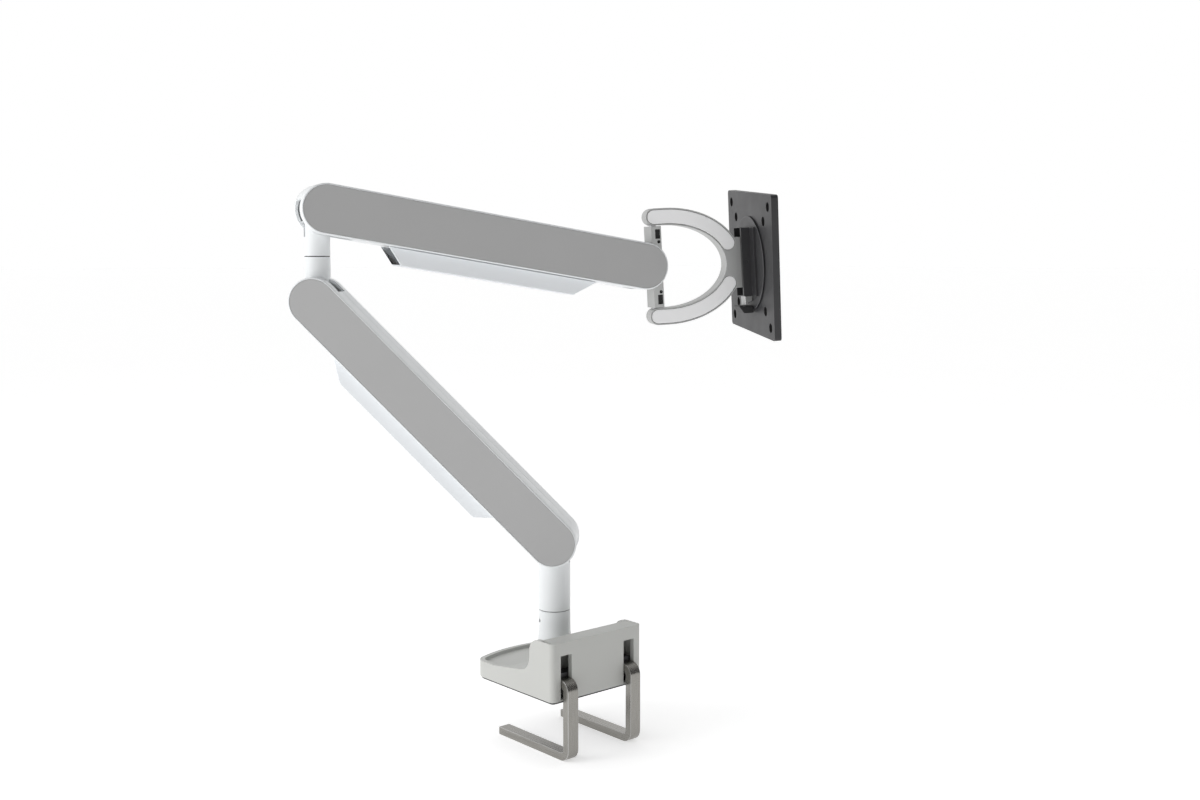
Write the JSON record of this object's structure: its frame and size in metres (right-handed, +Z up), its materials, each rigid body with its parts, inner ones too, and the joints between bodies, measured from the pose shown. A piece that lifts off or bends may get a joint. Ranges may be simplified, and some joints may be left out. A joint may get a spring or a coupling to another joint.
{
  "type": "monitor arm",
  "caption": "Desk-clamped monitor arm with spring-balanced parallelogram arms, a D-shaped pan yoke and a rotating screen plate; two steel hooks grip the desk edge.",
  "frame": {"origin": "on the desk face, on the swivel axis of the base post", "axes": "+Z up along the base post, -Y towards the nose of the base and into the desk, +Y out of the hooked rear face"},
  "size_m": [0.4073, 0.2232, 0.4342],
  "materials": {
    "white_coat": "white powder coat",
    "base_shell": "warm light grey powder coat",
    "grey_panel": "satin mid-grey panel",
    "cover_plastic": "satin",
    "pad_rubber": "matt",
    "black_nylon": "matt",
    "hook_steel": "brushed, nickel plated",
    "pin_steel": "ground",
    "dark_steel": "black phosphate",
    "carriage_iron": "machined",
    "satin_aluminium": "bead-blasted, satin",
    "light_inlay": "satin light grey",
    "link_alloy": "mill finish",
    "black_coat": "black powder coat"
  },
  "bodies": {
    "base": {"base_housing": "base_shell", "base_cap": "base_shell", "desk_pad": "pad_rubber", "post_collar": "white_coat", "collar_set_screw": "dark_steel", "swivel_washer": "black_nylon"},
    "clamp_screw": {"clamp_screw": "dark_steel"},
    "clamp_hooks": {"clamp_carriage": "carriage_iron", "hook_left": "hook_steel", "hook_right": "hook_steel", "hook_screws": "dark_steel"},
    "base_post": {"base_post": "white_coat", "base_link_pin": "pin_steel", "base_spring_pin": "pin_steel"},
    "lower_arm": {"lower_shell_left": "white_coat", "lower_shell_right": "white_coat", "lower_panel_left": "grey_panel", "lower_panel_right": "grey_panel", "lower_base_pivot": "pin_steel", "lower_elbow_pivot": "pin_steel", "lower_gas_cylinder": "dark_steel", "lower_cylinder_pin": "pin_steel"},
    "lower_rod": {"lower_piston_rod": "pin_steel"},
    "lower_link": {"lower_link": "link_alloy"},
    "lower_cover": {"lower_cable_cover": "cover_plastic"},
    "elbow_bracket": {"elbow_bracket": "white_coat", "elbow_link_pin": "pin_steel", "elbow_washer": "black_nylon"},
    "elbow_post": {"elbow_post": "white_coat", "upper_link_pin": "pin_steel", "upper_spring_pin": "pin_steel"},
    "upper_arm": {"upper_shell_left": "white_coat", "upper_shell_right": "white_coat", "upper_panel_left": "grey_panel", "upper_panel_right": "grey_panel", "upper_elbow_pivot": "pin_steel", "upper_head_pivot": "pin_steel", "upper_gas_cylinder": "dark_steel", "upper_cylinder_pin": "pin_steel"},
    "upper_rod": {"upper_piston_rod": "pin_steel"},
    "upper_link": {"upper_link": "link_alloy"},
    "upper_cover": {"upper_cable_cover": "cover_plastic"},
    "head_bracket": {"head_bracket": "satin_aluminium", "head_link_pin": "pin_steel"},
    "yoke": {"yoke_frame": "satin_aluminium", "yoke_inlay_upper_left": "light_inlay", "yoke_inlay_upper_right": "light_inlay", "yoke_inlay_lower_left": "light_inlay", "yoke_inlay_lower_right": "light_inlay", "pan_pin": "pin_steel"},
    "tilt_head": {"tilt_pin": "pin_steel", "tilt_bracket": "black_coat", "turntable": "black_coat", "turntable_screw": "dark_steel", "latch_guide": "satin_aluminium"},
    "latch": {"latch_tab": "black_nylon"},
    "screen_plate": {"vesa_plate": "black_coat"}
  },
  "joints": [
    {"name": "clamp_turn", "type": "hinge", "parent": "base", "child": "clamp_screw", "pos_m": [0, 0.0425, 0.02], "axis": [0, 0, -1], "range_deg": [-720, 2880]},
    {"name": "clamp_slide", "type": "slide", "parent": "base", "child": "clamp_hooks", "axis": [0, 0, 1], "range_m": [-0.004, 0.016]},
    {"name": "base_swivel", "type": "hinge", "parent": "base", "child": "base_post", "pos_m": [0, 0, 0.05575], "axis": [0, 0, 1], "range_deg": [-180, 180]},
    {"name": "lower_tilt", "type": "hinge", "parent": "base_post", "child": "lower_arm", "pos_m": [0, 0, 0.1115], "axis": [-0.6947, -0.7193, 0], "range_deg": [-25.4, 34.6]},
    {"name": "lower_rod_slide", "type": "slide", "parent": "lower_arm", "child": "lower_rod", "axis": [0.5051, -0.4878, 0.712], "range_m": [-0.0058, 0.00433]},
    {"name": "lower_link_turn", "type": "hinge", "parent": "base_post", "child": "lower_link", "pos_m": [-0.00523, 0.00506, 0.11761], "axis": [-0.6947, -0.7193, 0], "range_deg": [-25.4, 34.6]},
    {"name": "lower_cover_pull", "type": "slide", "parent": "lower_arm", "child": "lower_cover", "axis": [0.5122, -0.4946, -0.7022], "range_m": [0, 0.02]},
    {"name": "elbow_level", "type": "hinge", "parent": "lower_arm", "child": "elbow_bracket", "pos_m": [0.13132, -0.12682, 0.29663], "axis": [-0.6947, -0.7193, 0], "range_deg": [-34.6, 25.4]},
    {"name": "elbow_swivel", "type": "hinge", "parent": "elbow_bracket", "child": "elbow_post", "pos_m": [0.13132, -0.12682, 0.33113], "axis": [0, 0, 1], "range_deg": [-150, 150]},
    {"name": "upper_tilt", "type": "hinge", "parent": "elbow_post", "child": "upper_arm", "pos_m": [0.12662, -0.12511, 0.36713], "axis": [0.342, 0.9397, 0], "range_deg": [-25.5, 44.5]},
    {"name": "upper_rod_slide", "type": "slide", "parent": "upper_arm", "child": "upper_rod", "axis": [-0.9268, 0.3373, -0.165], "range_m": [-0.00713, 0.00422]},
    {"name": "upper_link_turn", "type": "hinge", "parent": "elbow_post", "child": "upper_link", "pos_m": [0.12662, -0.12511, 0.37663], "axis": [0.342, 0.9397, 0], "range_deg": [-25.5, 44.5]},
    {"name": "upper_cover_pull", "type": "slide", "parent": "upper_arm", "child": "upper_cover", "axis": [0.1551, -0.0564, -0.9863], "range_m": [0, 0.02]},
    {"name": "head_level", "type": "hinge", "parent": "upper_arm", "child": "head_bracket", "pos_m": [-0.12083, -0.03504, 0.32306], "axis": [0.342, 0.9397, 0], "range_deg": [-44.5, 25.5]},
    {"name": "yoke_pan", "type": "hinge", "parent": "head_bracket", "child": "yoke", "pos_m": [-0.13499, -0.02989, 0.3223], "axis": [0.0525, -0.0191, 0.9984], "range_deg": [-80, 100]},
    {"name": "screen_tilt", "type": "hinge", "parent": "yoke", "child": "tilt_head", "pos_m": [-0.20208, 0.00887, 0.32656], "axis": [0.4997, 0.8661, -0.0097], "range_deg": [-12, 12]},
    {"name": "latch_pull", "type": "slide", "parent": "tilt_head", "child": "latch", "axis": [-0.0645, 0.0261, -0.9976], "range_m": [0, 0.004], "stiffness_N_per_m": 300, "springref_m": -0.001},
    {"name": "screen_spin", "type": "hinge", "parent": "tilt_head", "child": "screen_plate", "pos_m": [-0.20857, 0.01261, 0.32558], "axis": [-0.8638, 0.4992, 0.0689], "range_deg": [-94, 86]}
  ],
  "couplings": [
    {"joint": "clamp_turn", "follows": "clamp_slide", "rad_per_m": 3141.6},
    {"joint": "lower_rod_slide", "follows": "lower_tilt", "m_per_rad": -0.0091},
    {"joint": "lower_link_turn", "follows": "lower_tilt", "ratio": 1},
    {"joint": "elbow_level", "follows": "lower_tilt", "ratio": -1},
    {"joint": "upper_rod_slide", "follows": "upper_tilt", "m_per_rad": -0.0088},
    {"joint": "upper_link_turn", "follows": "upper_tilt", "ratio": 1},
    {"joint": "head_level", "follows": "upper_tilt", "ratio": -1}
  ]
}
